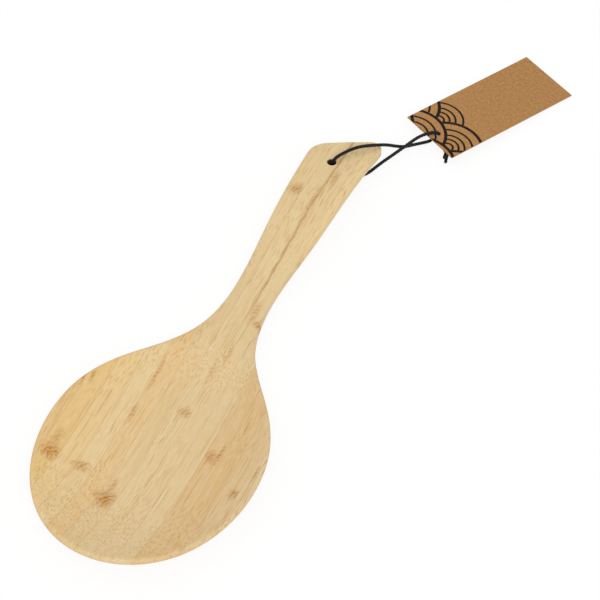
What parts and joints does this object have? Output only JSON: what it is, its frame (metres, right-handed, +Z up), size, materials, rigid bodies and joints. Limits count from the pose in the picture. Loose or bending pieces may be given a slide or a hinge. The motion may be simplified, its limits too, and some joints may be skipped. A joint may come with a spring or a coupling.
{
  "type": "rice paddle",
  "caption": "Laminated bamboo rice paddle with a shallow dished blade, a slant-ended handle, a black hang cord and a kraft card tag.",
  "frame": {"origin": "middle of the paddle's length and width, on the plane of the flat it rests on", "axes": "+Y from the blade's tip to the handle's end, +X to the right seen from above with the handle up, +Z up"},
  "size_m": [0.1192, 0.3207, 0.0139],
  "materials": {
    "bamboo": "satin",
    "black_cord": "satin",
    "kraft_card": "matte"
  },
  "bodies": {
    "paddle": {"strip_01": "bamboo", "strip_02": "bamboo", "strip_03": "bamboo", "strip_04": "bamboo", "strip_05": "bamboo", "strip_06": "bamboo", "strip_07": "bamboo", "strip_08": "bamboo", "strip_09": "bamboo", "strip_10": "bamboo", "strip_11": "bamboo", "strip_12": "bamboo", "strip_13": "bamboo", "handle_strip_left": "bamboo", "handle_strip_right": "bamboo"},
    "cord": {"cord_over": "black_cord", "cord_in_hole": "black_cord", "cord_under": "black_cord", "cord_knot": "black_cord", "cord_tail_low": "black_cord", "cord_tail_high": "black_cord"},
    "tag": {"tag": "kraft_card"}
  },
  "joints": [
    {"name": "cord_swivel", "type": "hinge", "parent": "paddle", "child": "cord", "pos_m": [0, 0.09731, 0.0074], "axis": [0, 0, 1], "range_deg": [-25, 85]},
    {"name": "tag_swing", "type": "hinge", "parent": "cord", "child": "tag", "pos_m": [0.0318, 0.13771, 0.0044], "axis": [0.0275, 0.052, 0.9983], "range_deg": [-50, 30]}
  ]
}
